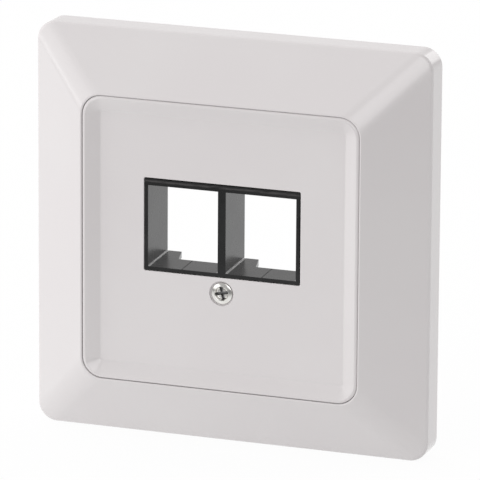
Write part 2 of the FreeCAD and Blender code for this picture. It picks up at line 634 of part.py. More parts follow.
def centre_screw(doc):
    """The raised countersunk screw, with a cross recess in its domed head."""
    body = new_body(doc, "centre_screw")
    tip = f"({HEAD_FRONT} - sizes.screw_long)"
    neck = f"({HEAD_FRONT} - (sizes.head_radius - sizes.screw_radius))"
    profile = sketch_on(body, "profile", LEVEL)
    head_profile(profile, tip, neck)
    axis = next(item for item in body.Origin.OriginFeatures if item.Role == "Y_Axis")
    turned = body.newObject("PartDesign::Revolution", "centre_screw_turned")
    turned.Profile = profile
    turned.ReferenceAxis = (axis, [""])
    turned.Angle = 360
    body.Document.recompute()

    cross = sketch_on(body, "cross", FACING, f"{HEAD_FRONT} + sizes.head_dome")
    long, wide = "sizes.cross_long / 2", "sizes.cross_wide / 2"
    quarter = [(wide, long), (wide, wide), (long, wide)]
    corners = list(quarter)
    corners += [(x, f"-({y})") for x, y in reversed(quarter)]
    corners += [(f"-({x})", f"-({y})") for x, y in quarter]
    corners += [(f"-({x})", y) for x, y in reversed(quarter)]
    polygon(cross, corners)
    recess = extrude(body, "Pocket", "recess", cross, "sizes.head_dome + sizes.cross_deep")
    recess.TaperAngle = -8
    doc.recompute()
    body.setExpression("Placement.Base.z", "-sizes.screw_drop")
    return body


def head_profile(sketch, tip, neck):
    """Draw half of the screw: shank, countersunk head and a dome struck as one arc."""
    polygon_open = [
        ("0", tip),
        ("sizes.screw_radius - sizes.screw_point", tip),
        ("sizes.screw_radius", f"{tip} + sizes.screw_point"),
        ("sizes.screw_radius", neck),
        ("sizes.head_radius", HEAD_FRONT),
    ]
    places = [V(sketch.evalExpression(r), -sketch.evalExpression(f)) for r, f in polygon_open]
    rise = sketch.evalExpression("sizes.head_dome")
    half = sketch.evalExpression("sizes.head_radius")
    crown = V(0, places[-1].y - rise)
    for start, end in zip(places, places[1:]):
        sketch.addGeometry(Part.LineSegment(start, end))
    radius = (half**2 + rise**2) / (2 * rise)
    middle = V(0, crown.y + radius)
    sweep = math.asin(half / radius)
    circle = Part.Circle(middle, V(0, 0, 1), radius)
    sketch.addGeometry(Part.ArcOfCircle(circle, -math.pi / 2, -math.pi / 2 + sweep))
    sketch.addGeometry(Part.LineSegment(crown, places[0]))
    dome, spine = len(places) - 1, len(places)
    for index in range(dome - 1):
        sketch.addConstraint(Sketcher.Constraint("Coincident", index, 2, index + 1, 1))
    sketch.addConstraint(Sketcher.Constraint("Coincident", dome - 1, 2, dome, 2))
    sketch.addConstraint(Sketcher.Constraint("Coincident", dome, 1, spine, 1))
    sketch.addConstraint(Sketcher.Constraint("Coincident", spine, 2, 0, 1))
    sketch.addConstraint(Sketcher.Constraint("PointOnObject", dome, 3, -2))
    for index, (r, f) in enumerate(polygon_open[:-1]):
        bind(sketch, ("DistanceX", -1, 1, index, 1), r)
        bind(sketch, ("DistanceY", -1, 1, index, 1), f"-({f})")
    bind(sketch, ("DistanceX", -1, 1, dome - 1, 2), "sizes.head_radius")
    bind(sketch, ("DistanceY", -1, 1, dome - 1, 2), f"-({HEAD_FRONT})")
    bind(sketch, ("DistanceY", -1, 1, dome, 1), f"-({HEAD_FRONT} + sizes.head_dome)")
    bind(sketch, ("DistanceX", -1, 1, dome, 1), "0")


def threaded_insert(doc):
    """The brass insert behind the carrier's lug, which the centre screw pulls against its flange."""
    body = new_body(doc, "threaded_insert")
    bore = "(sizes.screw_radius + sizes.thread_clear)"
    front = "(sizes.lug_front - sizes.insert_short)"
    back = f"({LUG_BACK} - sizes.insert_flange_thick)"
    profile = [
        (bore, front),
        ("sizes.insert_radius", front),
        ("sizes.insert_radius", LUG_BACK),
        ("sizes.insert_flange", LUG_BACK),
        ("sizes.insert_flange", back),
        (bore, back),
    ]
    turn(body, "turned", profile)
    body.setExpression("Placement.Base.z", "-sizes.screw_drop")
    return body


def rivet(doc, name, x, z):
    """One rivet: a head on the carrier's flange and a clinched end behind the ring."""
    body = new_body(doc, name)
    crown = f"({FLANGE_FRONT} + sizes.rivet_head_high)"
    profile = [
        ("0", "-sizes.rivet_clinch_high"),
        ("sizes.rivet_clinch", "-sizes.rivet_clinch_high"),
        ("sizes.rivet_clinch", "0"),
        ("sizes.rivet_radius", "0"),
        ("sizes.rivet_radius", FLANGE_FRONT),
        ("sizes.rivet_head", FLANGE_FRONT),
        ("sizes.rivet_head", crown),
        ("0", crown),
    ]
    turn(body, "turned", profile)
    body.setExpression("Placement.Base.x", x)
    body.setExpression("Placement.Base.z", z)
    return body


def rivets(doc):
    """The four rivets that hold the carrier on the ring."""
    made = []
    for row, z in (("upper", "sizes.rivet_up / 2"), ("lower", "-sizes.rivet_up / 2")):
        for side, x in (("left", f"-{RIVET_X}"), ("right", RIVET_X)):
            made.append(rivet(doc, f"carrier_rivet_{row}_{side}", x, z))
    return made


def check(doc, pieces):
    """Stop before anything is written if an object failed or a piece has no sound shape."""
    for item in doc.Objects:
        if "Invalid" in item.State or "Error" in item.State:
            raise RuntimeError(f"{item.Name}: {item.State}")
    for piece in pieces:
        if piece.Shape.isNull() or not piece.Shape.isValid() or len(piece.Shape.Solids) != 1:
            raise RuntimeError(f"{piece.Label} has no sound solid")


def main():
    doc = FreeCAD.newDocument("keystone_faceplate")
    make_sheet(doc)
    pieces = [
        cover_frame(doc),
        centre_plate(doc),
        keystone_carrier(doc),
        support_ring(doc),
        centre_screw(doc),
        threaded_insert(doc),
    ]
    pieces += rivets(doc)
    doc.recompute()
    check(doc, pieces)
    os.makedirs("parts", exist_ok=True)
    for piece in pieces:
        piece.Shape.exportStep(f"parts/{piece.Label}.step")
        print(piece.Label, round(piece.Shape.Volume, 3))


main()
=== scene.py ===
"""A two-port keystone faceplate for a flush wall box: ring, keystone carrier, frame, plate and screw."""

import math

import bmesh
import bpy
import numpy as np
from mathutils import Matrix, Vector
from mathutils.geometry import delaunay_2d_cdt


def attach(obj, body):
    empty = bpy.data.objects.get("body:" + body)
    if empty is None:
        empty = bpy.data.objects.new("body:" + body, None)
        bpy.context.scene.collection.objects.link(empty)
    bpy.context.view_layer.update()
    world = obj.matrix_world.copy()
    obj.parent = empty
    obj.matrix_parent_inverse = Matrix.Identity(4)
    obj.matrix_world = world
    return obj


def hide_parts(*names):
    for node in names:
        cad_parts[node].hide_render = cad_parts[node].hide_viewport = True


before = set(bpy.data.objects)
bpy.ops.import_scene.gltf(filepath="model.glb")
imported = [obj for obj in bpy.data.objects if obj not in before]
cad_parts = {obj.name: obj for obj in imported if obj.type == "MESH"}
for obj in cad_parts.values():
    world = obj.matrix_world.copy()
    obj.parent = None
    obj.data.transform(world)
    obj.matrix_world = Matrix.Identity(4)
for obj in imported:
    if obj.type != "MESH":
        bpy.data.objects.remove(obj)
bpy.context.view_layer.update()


# --- support ring -----------------------------------------------------------------------------------
# The ring is a square of 1.2 mm sheet steel with a window for the carrier and a slot in each side for
# the wall box's screws.  It is punched from zinc-plated coil, so its faces show a fine rolling grain
# and soft clouds in the plating.

class Signal:
    """A number that changes over a surface.  Arithmetic on it adds the matching Math nodes."""

    def __init__(self, finish, socket):
        self.finish = finish
        self.socket = socket

    def math(self, operation, *terms):
        """One Math node; its terms are numbers or other signals."""
        return self.finish.node("ShaderNodeMath", {"operation": operation}, dict(enumerate(terms)))

    def __add__(self, other):
        return self.math("ADD", self, other)

    def __radd__(self, other):
        return self.math("ADD", other, self)

    def __sub__(self, other):
        return self.math("SUBTRACT", self, other)

    def __rsub__(self, other):
        return self.math("SUBTRACT", other, self)

    def __mul__(self, other):
        return self.math("MULTIPLY", self, other)

    def __rmul__(self, other):
        return self.math("MULTIPLY", other, self)

    def __abs__(self):
        return self.math("ABSOLUTE", self)

    def least(self, other):
        """The smaller of two numbers."""
        return self.math("MINIMUM", self, other)

    def between(self, low, high):
        """0 below low, 1 above high, and a smooth step from one to the other."""
        sockets = {"Value": self, "From Min": low, "From Max": high}
        settings = {"interpolation_type": "SMOOTHSTEP"}
        return self.finish.node("ShaderNodeMapRange", settings, sockets)


class Finish:
    """A material whose Principled shader is fed by nodes made through one method."""

    def __init__(self, name):
        self.material = bpy.data.materials.new(name)
        self.material.use_nodes = True
        self.tree = self.material.node_tree
        self.tree.nodes.clear()
        self.shader = self.tree.nodes.new("ShaderNodeBsdfPrincipled")
        self.output = self.tree.nodes.new("ShaderNodeOutputMaterial")
        self.tree.links.new(self.shader.outputs[0], self.output.inputs[0])
        self.place = self.node("ShaderNodeTexCoord", out="Object")

    def node(self, kind, settings=None, sockets=None, out=0):
        """Add a node: its settings first, then a value or a signal for each named socket."""
        made = self.tree.nodes.new(kind)
        for name, value in (settings or {}).items():
            setattr(made, name, value)
        self.feed(made, sockets or {})
        return Signal(self, made.outputs[out])

    def feed(self, node, sockets):
        for name, value in sockets.items():
            if isinstance(value, Signal):
                self.tree.links.new(value.socket, node.inputs[name])
            else:
                node.inputs[name].default_value = value

    def shade(self, **sockets):
        """Set sockets of the Principled shader; an underscore in a name stands for a space."""
        self.feed(self.shader, {name.replace("_", " "): value for name, value in sockets.items()})
        return self.material

    def along(self, axis, vector=None):
        """One coordinate of a vector; without a vector, of the place on the piece."""
        return self.node("ShaderNodeSeparateXYZ", None, {0: vector or self.place}, out=axis)

    def noise(self, scale, detail, roughness, stretch=None):
        """Cloudy noise from 0 to 1, with so many clouds in a metre, or so many along each axis."""
        place = self.place
        if stretch:
            place = self.node("ShaderNodeMapping", None, {"Vector": place, "Scale": stretch})
        sockets = {"Vector": place, "Scale": scale, "Detail": detail, "Roughness": roughness}
        return self.node("ShaderNodeTexNoise", {"normalize": True}, sockets)

    def mix(self, share, first, second):
        """Blend two colours by a share from 0 to 1."""
        settings = {"data_type": "RGBA", "clamp_factor": True}
        return self.node("ShaderNodeMix", settings, {0: share, 6: first, 7: second}, out=2)

    def dot(self, way, fixed):
        """How far a direction points along a fixed one, from -1 to 1."""
        settings = {"operation": "DOT_PRODUCT"}
        return self.node("ShaderNodeVectorMath", settings, {0: way, 1: fixed}, out="Value")

    def bump(self, height, distance):
        """A normal tilted by a height from 0 to 1 that stands for so many metres."""
        return self.node("ShaderNodeBump", None, {"Height": height, "Distance": distance, "Strength": 1.0})


def dress(piece, material):
    """Give every slot of a piece one material."""
    piece.data.materials.clear()
    piece.data.materials.append(material)


def zinc_plate():
    """Bright zinc on rolled steel: clouds of plating, and a grain along X."""
    finish = Finish("zinc plated steel")
    clouds = finish.noise(160, 4, 0.6)
    grain = finish.noise(1, 3, 0.7, stretch=(150, 9000, 9000))
    fine = finish.noise(5200, 2, 0.5)
    pale, deep = (0.71, 0.73, 0.75, 1), (0.55, 0.57, 0.60, 1)
    colour = finish.mix(clouds.between(0.35, 0.65), pale, deep)
    normal = finish.bump(grain * 0.7 + fine * 0.3, 4e-6)
    return finish.shade(
        Base_Color=colour, Metallic=1.0, Roughness=0.27 + 0.16 * clouds + 0.06 * grain, Normal=normal
    )


dress(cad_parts["support_ring"], zinc_plate())


# --- keystone carrier -------------------------------------------------------------------------------
# The carrier is one black moulding: two ports side by side on a flange, with a lug below for the
# screw's insert.  It is moulded in a spark-eroded tool, so its faces are satin and its edges have
# a small round.  Each floor has a parting line where two inserts of the tool meet.

MM = 0.001
CARRIER_FACE = -11.2 * MM           # the front face, along Y
PORT_MIDDLE = 8.1 * MM              # the parting line in a port's floor, from the carrier's middle
PORT_SIDES = (15.0 * MM, 0.8 * MM)  # a port's outer wall and the wall between the ports, from the middle
PORT_FLOOR = -5.125 * MM            # the floor at the mouth, along Z
FLOOR_SLOPE = 0.0472                # the floor's rise for each length towards the back
PORT_ROOF = 10.575 * MM             # the roof's underside, along Z
ROOF_DRAFT = 0.35 * MM              # the roof's underside is so much higher at the mouth
ROOF_HIGHLIGHT_LINE = 11.72 * MM            # the painted highlight streak above the ports, along Z


def black_moulding():
    """Satin black plastic with fine eroded grain and parting lines, and painted highlights: a pale line where
    walls meet floors and a streak above the ports.
    """
    finish = Finish("black plastic")
    grain = finish.noise(9000, 3, 0.6)
    broad = finish.noise(220, 3, 0.5)
    colour = finish.mix(broad.between(0.3, 0.7), (0.006, 0.0061, 0.0063, 1), (0.010, 0.0102, 0.0105, 1))
    outward, inward, upward = abs(finish.along("X")), finish.along("Y"), finish.along("Z")
    # The parting line is a groove 0.2 mm wide along each floor.
    seam = 1.0 - abs(outward - PORT_MIDDLE).between(0.04 * MM, 0.12 * MM)
    seam = seam * (1.0 - upward.between(-3.9 * MM, -3.8 * MM))
    # A painted highlight: a pale line where a wall meets a floor stands in for light caught along the junction.
    from_wall = abs(outward - PORT_SIDES[0]).least(abs(outward - PORT_SIDES[1]))
    rise = upward - (PORT_FLOOR + FLOOR_SLOPE * (inward - CARRIER_FACE))
    junction_highlight = (1.0 - from_wall.between(0.22 * MM, 0.40 * MM)) * (1.0 - rise.between(0.12 * MM, 0.30 * MM))
    junction_highlight = junction_highlight * rise.between(-0.3 * MM, -0.2 * MM)
    junction_highlight = junction_highlight * inward.between(CARRIER_FACE + 0.15 * MM, CARRIER_FACE + 0.3 * MM)
    colour = finish.mix(junction_highlight, colour, (0.55, 0.55, 0.55, 1))
    # A painted highlight: a pale streak along the front face above the ports, broken up by noise, stands in for
    # an edge catching the light.
    roof_highlight = 1.0 - abs(upward - ROOF_HIGHLIGHT_LINE).between(0.05 * MM, 0.34 * MM)
    roof_highlight = roof_highlight * (1.0 - inward.between(CARRIER_FACE + 0.01 * MM, CARRIER_FACE + 0.1 * MM))
    roof_highlight = roof_highlight * finish.noise(1, 2, 0.5, stretch=(350, 350, 2500)).between(0.3, 0.6)
    colour = finish.mix(roof_highlight, colour, (0.052, 0.050, 0.050, 1))
    return finish.shade(
        Base_Color=colour,
        Roughness=0.20 + 0.10 * broad + 0.05 * grain + 0.5 * seam,
        Normal=finish.bump(0.1 * grain + (1.0 - seam), 2.5e-5),
        IOR=1.53,
    )


def moulded_copy(node, name, width):
    """A copy of a CAD node with its facets merged into flat faces and a small round on every edge."""
    piece = bpy.data.objects.new(name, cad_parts[node].data.copy())
    bpy.context.scene.collection.objects.link(piece)
    mesh = bmesh.new()
    mesh.from_mesh(piece.data)
    bmesh.ops.remove_doubles(mesh, verts=mesh.verts, dist=1e-6)
    bmesh.ops.dissolve_limit(mesh, angle_limit=math.radians(2), verts=mesh.verts, edges=mesh.edges)
    mesh.to_mesh(piece.data)
    mesh.free()
    piece.data.shade_smooth()
    bevel = piece.modifiers.new("round", "BEVEL")
    bevel.width = width
    bevel.segments = 3
    bevel.limit_method = "ANGLE"
    bevel.angle_limit = math.radians(30)
    bevel.use_clamp_overlap = True
    normals = piece.modifiers.new("normals", "WEIGHTED_NORMAL")
    normals.keep_sharp = False
    return piece


carrier = moulded_copy("keystone_carrier", "carrier_moulding", 0.2 * MM)
places = np.empty(3 * len(carrier.data.vertices), np.float32)
carrier.data.vertices.foreach_get("co", places)
places = places.reshape(-1, 3)
# The roof's underside has draft, so its corners at the mouth are raised.
at_face = np.abs(places[:, 1] - CARRIER_FACE) < 0.01 * MM
at_roof = np.abs(places[:, 2] - PORT_ROOF) < 0.01 * MM
places[at_face & at_roof, 2] += ROOF_DRAFT
carrier.data.vertices.foreach_set("co", places.ravel())
dress(carrier, black_moulding())
dress(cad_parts["keystone_carrier"], carrier.data.materials[0])
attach(carrier, "root")
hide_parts("keystone_carrier")


# --- threaded insert --------------------------------------------------------------------------------
# A turned brass bush is pressed into the lug from behind.  Its flange stops it from pulling
# through, its knurl grips the plastic, and the centre screw runs in its thread.

# Sizes from here on are in millimetres.  A profile's points are (across, front), where front is the
# distance in front of the wall, and the screw's axis is given by its X and Z.
SCREW_AXIS = (0.0, -9.1)
THREAD_PITCH = 0.5
INSERT_FRONT, INSERT_BACK, INSERT_FLANGE = 6.1, -0.8, -0.2
INSERT_BORE, INSERT_BODY, INSERT_RIM = 1.5, 2.25, 3.1


def eased(corners, steps):
    """Round a profile's corners: each row is (across, front, corner radius of the path, rounding).

    A rounding R at a corner whose sides meet at twice the angle h is an arc that leaves the sides
    R / tan h from the corner; its points are centre + R (cos, sin) over the turn between them, in
    so many steps.
    """
    table = np.array(corners, float)
    spot, before, after = table[:, :2], np.roll(table, 1, 0)[:, :2], np.roll(table, -1, 0)[:, :2]
    u, v = before - spot, after - spot
    u /= np.linalg.norm(u, axis=1)[:, None]
    v /= np.linalg.norm(v, axis=1)[:, None]
    half = np.arccos(np.clip((u * v).sum(1), -1, 1)) / 2
    radius = table[:, 3]
    middle = u + v
    middle /= np.linalg.norm(middle, axis=1)[:, None]
    centre = spot + middle * (radius / np.sin(half))[:, None]
    start = spot + u * (radius / np.tan(half))[:, None] - centre
    side = np.sign(u[:, 0] * v[:, 1] - u[:, 1] * v[:, 0])
    turn = -side[:, None] * (math.pi - 2 * half)[:, None] * np.linspace(0, 1, steps + 1)[None, :]
    x = centre[:, :1] + start[:, :1] * np.cos(turn) - start[:, 1:] * np.sin(turn)
    y = centre[:, 1:] + start[:, :1] * np.sin(turn) + start[:, 1:] * np.cos(turn)
    path = np.repeat(table[:, 2:3], steps + 1, 1)
    return np.stack([x, y, path], 2).reshape(-1, 3)


def grid_faces(rows, columns, close_rows=True):
    """Quads of a grid of points whose rows go all the way round; the last row may join the first."""
    i = np.arange(rows if close_rows else rows - 1)[:, None]
    j = np.arange(columns)[None, :]
    i2, j2 = (i + 1) % rows, (j + 1) % columns
    quads = [i * columns + j, i * columns + j2, i2 * columns + j2, i2 * columns + j]
    return np.stack([np.broadcast_to(q, (i.size, j.size)) for q in quads], 2).reshape(-1, 4)


def make_piece(name, shells, sharp=40, merge=2e-7):
    """One object from several (points in mm, faces) pairs, merged where they meet."""
    points, faces, start = [], [], 0
    for place, polygons in shells:
        place = np.asarray(place, float).reshape(-1, 3)
        points.append(place)
        faces += [[int(k) + start for k in polygon] for polygon in polygons]
        start += len(place)
    data = bpy.data.meshes.new(name)
    data.from_pydata(np.concatenate(points) * MM, [], faces)
    mesh = bmesh.new()
    mesh.from_mesh(data)
    bmesh.ops.remove_doubles(mesh, verts=mesh.verts, dist=merge)
    bmesh.ops.recalc_face_normals(mesh, faces=mesh.faces)
    mesh.to_mesh(data)
    mesh.free()
    data.shade_smooth()
    data.set_sharp_from_angle(angle=math.radians(sharp))
    piece = bpy.data.objects.new(name, data)
    bpy.context.scene.collection.objects.link(piece)
    normals = piece.modifiers.new("normals", "WEIGHTED_NORMAL")
    normals.keep_sharp = True
    return piece


def turned(profile, centre, around=48, wave=None, ring=True):
    """Carry a profile of (radius, front) round an axis along Y: x = r cos t, z = r sin t.

    A wave adds to the radius.  A ring's profile closes on itself; any other starts and ends on the
    axis, at radius 0.
    """
    t = np.linspace(0, 2 * math.pi, around, endpoint=False)[None, :]
    r = np.asarray(profile, float)[:, :1] + np.zeros_like(t)
    front = np.asarray(profile, float)[:, 1:2] + np.zeros_like(t)
    if wave is not None:
        r = r + wave(r, front, t)
    points = np.stack([centre[0] + r * np.cos(t), -front, centre[1] + r * np.sin(t)], 2)
    return points, grid_faces(len(profile), around, close_rows=ring)


def lengthened(profile, step, ring=True):
    """Put more points on the long runs of a profile, no further apart than step."""
    profile = np.asarray(profile, float)[:, :2]
    following = np.roll(profile, -1, 0)
    count = np.maximum(1, np.ceil(np.linalg.norm(following - profile, axis=1) / step).astype(int))
    count[-1] = count[-1] if ring else 1
    start = np.repeat(np.cumsum(count) - count, count)
    share = (np.arange(count.sum()) - start) / np.repeat(count, count)
    return np.repeat(profile, count, 0) + np.repeat(following - profile, count, 0) * share[:, None]


def insert_wave(r, front, t):
    """Knurl: 30 ridges of a cosine on the outside.  Thread: a cosine of the thread's pitch in the bore."""
    body = (r > 2.0) & (r < 2.5) & (front > 0.0) & (front < INSERT_FRONT - 0.2)
    bore = (r < 1.6) & (front < INSERT_FRONT - 0.2) & (front > INSERT_BACK + 0.2)
    knurl = 0.07 * (np.cos(30 * t) - 1) * body
    thread = 0.07 * np.cos(2 * math.pi * front / THREAD_PITCH + t) * bore
    return knurl + thread


insert_profile = eased(
    [
        (INSERT_BORE, INSERT_FRONT, 0, 0.12), (INSERT_BODY, INSERT_FRONT, 0, 0.1),
        (INSERT_BODY, INSERT_FLANGE, 0, 0.05), (INSERT_RIM, INSERT_FLANGE, 0, 0.08),
        (INSERT_RIM, INSERT_BACK, 0, 0.12), (INSERT_BORE, INSERT_BACK, 0, 0.15),
    ],
    3,
)


def turned_brass():
    """Free-cutting brass: fine rings from the tool, and a faint tarnish in clouds."""
    finish = Finish("turned brass")
    clouds = finish.noise(420, 3, 0.6)
    rings = finish.noise(1, 2, 0.5, stretch=(500, 26000, 500))
    colour = finish.mix(clouds.between(0.3, 0.7), (0.80, 0.61, 0.30, 1), (0.66, 0.47, 0.20, 1))
    return finish.shade(
        Base_Color=colour, Metallic=1.0, Roughness=0.22 + 0.16 * clouds, Normal=finish.bump(rings, 3e-6)
    )


bush = turned(lengthened(insert_profile, 0.12), SCREW_AXIS, 120, insert_wave)
insert = make_piece("brass_insert", [bush], 60)
dress(insert, turned_brass())
dress(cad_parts["threaded_insert"], insert.data.materials[0])
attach(insert, "root")
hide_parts("threaded_insert")


# --- carrier rivets ---------------------------------------------------------------------------------
# Four steel rivets hold the carrier's flange on the ring.  Each has a low domed head in front,
# and behind the ring its end is rolled over into a collar with a dimple.

RIVET_ACROSS, RIVET_UP = 19.8, 9.5                  # each rivet's place from the middle
RIVET_SHANK, RIVET_HEAD, RIVET_END = 1.5, 2.7, 2.2  # radii
FLANGE_FACE = 2.7  # the face that the heads sit on; the back of the ring is at 0


def set_rivet(centre):
    """A dome of one arc, a shank, and a rolled end round a dimple.

    The dome is front = 2.85 + 0.75 sqrt(1 - (0.96 a)^2) at 2.7 a from the axis, and the rolled end is
    half an ellipse of 0.65 by 0.38 mm.
    """
    a = np.linspace(0, 1, 12)
    head = np.stack([RIVET_HEAD * a, 2.85 + 0.75 * np.sqrt(1 - (0.96 * a) ** 2)], 1)
    edge = eased(
        [
            (RIVET_HEAD, FLANGE_FACE, 0, 0.05), (RIVET_SHANK, FLANGE_FACE, 0, 0.03),
            (RIVET_SHANK, 0, 0, 0.03), (RIVET_END, 0, 0, 0.08),
        ],
        2,
    )[:, :2]
    b = np.linspace(0, math.pi, 10)
    rolled = np.stack([RIVET_END - 0.65 + 0.65 * np.cos(b), -0.22 - 0.38 * np.sin(b)], 1)
    dimple = np.array([[0.75, 0.1], [0.45, 0.3], [0.0, 0.34]])
    return turned(np.concatenate([head, edge, rolled, dimple]), centre, 40, ring=False)


def rivet_steel():
    """Plain steel, bright where the setting tool pressed it."""
    finish = Finish("rivet steel")
    clouds = finish.noise(700, 3, 0.6)
    marks = finish.noise(6000, 2, 0.6)
    colour = finish.mix(clouds.between(0.35, 0.7), (0.66, 0.66, 0.66, 1), (0.50, 0.50, 0.51, 1))
    return finish.shade(
        Base_Color=colour, Metallic=1.0, Roughness=0.28 + 0.18 * clouds, Normal=finish.bump(marks, 5e-6)
    )


steel = rivet_steel()
for row, z in (("upper", RIVET_UP), ("lower", -RIVET_UP)):
    for side, x in (("left", -RIVET_ACROSS), ("right", RIVET_ACROSS)):
        node = f"carrier_rivet_{row}_{side}"
        rivet = make_piece(f"rivet_{row}_{side}", [set_rivet((x, z))], 50)
        dress(rivet, steel)
        dress(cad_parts[node], steel)
        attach(rivet, "root")
        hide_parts(node)


# --- cover frame ------------------------------------------------------------------------------------
# The frame is a glossy white moulding, polished in the tool: four slopes rise from an upright
# edge on the wall to a lip round the opening.  Behind, it is a shell with a ledge for the centre plate
# and two gussets on each side.

def carried(profile, around=14, centre=(0.0, 0.0), lean=(0.0, 0.0)):
    """Carry a profile round a rounded rectangle.

    Each row is (half width, front, path radius).  A corner's arc has its middle at (half - radius)
    each way, so where the radius stays the same the arcs of all rows lie one behind another, and the
    straight sides between them are flat.  lean adds to the half width along X and along Z.
    """
    rows = np.asarray(profile, float)
    angle = np.linspace(0, math.pi / 2, around + 1)
    t = (np.arange(4)[:, None] * math.pi / 2 + angle[None, :]).ravel()
    sx = np.repeat([1, -1, -1, 1], around + 1)
    sz = np.repeat([1, 1, -1, -1], around + 1)
    radius = rows[:, 2:3]
    x = centre[0] + sx * (rows[:, :1] + lean[0] - radius) + radius * np.cos(t)
    z = centre[1] + sz * (rows[:, :1] + lean[1] - radius) + radius * np.sin(t)
    y = np.repeat(-rows[:, 1:2], len(t), 1)
    return np.stack([x, y, z], 2)


def tube(profile):
    """A closed profile carried round: a shell with no ends."""
    points = carried(profile)
    return points, grid_faces(points.shape[0], points.shape[1])


def white_moulding():
    """Glossy white plastic: a trace of warm cloud in the colour, and the tool's polish in the gloss."""
    finish = Finish("white plastic")
    broad = finish.noise(45, 2, 0.5)
    peel = finish.noise(700, 2, 0.5)
    colour = finish.mix(broad.between(0.3, 0.7), (0.700, 0.672, 0.676, 1), (0.712, 0.688, 0.690, 1))
    return finish.shade(
        Base_Color=colour,
        Roughness=0.15 + 0.05 * broad,
        Normal=finish.bump(peel, 1.5e-6),
    )


FRAME_HALF, FRAME_CORNER = 40.0, 3.7      # the outline on the wall
EDGE_FRONT, LIP_FRONT = 5.7, 12.8         # the top of the upright edge, and the lip
OPENING_HALF, OPENING_CORNER = 28.04, 4.04
LEDGE_HALF, LEDGE_CORNER = 26.22, 3.17
LEDGE_FRONT, LEDGE_BACK = 8.7, 7.3
HOLLOW_HALF, HOLLOW_CORNER = 29.72, 5.72  # the outside of the wall round the opening
HOLLOW_TOP, HOLLOW_FOOT = 9.716, 4.55     # the slope's inside, at that wall and at the upright edge
EDGE_WALL = 2.0

frame_profile = eased(
    [
        (FRAME_HALF, 0.0, FRAME_CORNER, 0.12),
        (FRAME_HALF, EDGE_FRONT, FRAME_CORNER, 1.0),
        (OPENING_HALF + 0.31, LIP_FRONT, OPENING_CORNER + 0.21, 0.12),
        (OPENING_HALF, LIP_FRONT, OPENING_CORNER, 0.2),
        (OPENING_HALF, LEDGE_FRONT, OPENING_CORNER, 0.1),
        (LEDGE_HALF, LEDGE_FRONT, LEDGE_CORNER, 0.12),
        (LEDGE_HALF, LEDGE_BACK, LEDGE_CORNER, 0.12),
        (HOLLOW_HALF, LEDGE_BACK, HOLLOW_CORNER, 0.2),
        (HOLLOW_HALF, HOLLOW_TOP, HOLLOW_CORNER, 0.3),
        (FRAME_HALF - EDGE_WALL, HOLLOW_FOOT, FRAME_CORNER - EDGE_WALL, 0.3),
        (FRAME_HALF - EDGE_WALL, 0.0, FRAME_CORNER - EDGE_WALL, 0.12),
    ],
    6,
)
GUSSET_PLACE, GUSSET_HALF = 16.0, 0.6     # from the middle of a side, and half the thickness
GUSSET_BACK, GUSSET_BURY = 2.0, 0.6       # the back edge, and the run into the walls at both ends


def gusset(side, turns):
    """A thin web between the opening's wall and the slope, turned by quarter turns about Y.

    A quarter turn takes (x, z) to (z, -x).  The web's front edge lies inside the slope's shell.
    """
    near, far = HOLLOW_HALF - GUSSET_BURY, FRAME_HALF - EDGE_WALL + GUSSET_BURY
    z = np.array([near, near, far, far] * 2)
    y = -np.array([GUSSET_BACK, 10.4, 4.5, GUSSET_BACK] * 2)
    x = side * GUSSET_PLACE + np.repeat([-GUSSET_HALF, GUSSET_HALF], 4)
    c, s = [(1, 0), (0, 1), (-1, 0), (0, -1)][turns]
    faces = [[0, 1, 2, 3], [7, 6, 5, 4], [0, 4, 5, 1], [1, 5, 6, 2], [2, 6, 7, 3], [3, 7, 4, 0]]
    return np.stack([c * x + s * z, y, c * z - s * x], 1), faces


white = white_moulding()
gussets = [gusset(side, turns) for side in (1, -1) for turns in range(4)]
cover = make_piece("cover_moulding", [tube(frame_profile)] + gussets)
dress(cover, white)
dress(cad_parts["cover_frame"], white)
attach(cover, "root")
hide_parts("cover_frame")


# --- centre plate -----------------------------------------------------------------------------------
# The plate is moulded in the same white plastic.  Inside a narrow rim its face sinks by a soft slope
# to a flat field, where the carrier comes through an opening and the screw sits in a countersink.
# Behind the field there are a collar, six ribs and a boss.

def flat_face(front, outline, holes):
    """A flat face at one front between an outline and its holes, cut into triangles."""
    loops = [np.asarray(outline)] + [np.asarray(hole) for hole in holes]
    points = np.concatenate([loop[:, [0, 2]] for loop in loops])
    start = np.cumsum([0] + [len(loop) for loop in loops])
    edges = [(int(first + k), int(first + (k + 1) % len(loop))) for first, loop in zip(start, loops)
             for k in range(len(loop))]
    made = delaunay_2d_cdt([Vector(p) for p in points], edges, [], 0, 1e-7)
    places = np.array([tuple(p) for p in made[0]])
    faces = np.array([tuple(f) for f in made[2]])
    middle = places[faces].mean(1)

    def inside(loop):
        """Whether a line to the right of each triangle's middle meets the loop an odd number of times."""
        a, b = loop[:, [0, 2]], np.roll(loop, -1, 0)[:, [0, 2]]
        over = (a[None, :, 1] > middle[:, 1:]) != (b[None, :, 1] > middle[:, 1:])
        slant = (b[:, 0] - a[:, 0]) / (b[:, 1] - a[:, 1] + 1e-30)
        cut = a[None, :, 0] + (middle[:, 1:] - a[None, :, 1]) * slant[None, :]
        return ((over & (cut > middle[:, :1])).sum(1) % 2).astype(bool)

    keep = inside(loops[0])
    for hole in loops[1:]:
        keep &= ~inside(hole)
    flat = np.stack([places[:, 0], np.full(len(places), -front), places[:, 1]], 1)
    return flat, faces[keep]


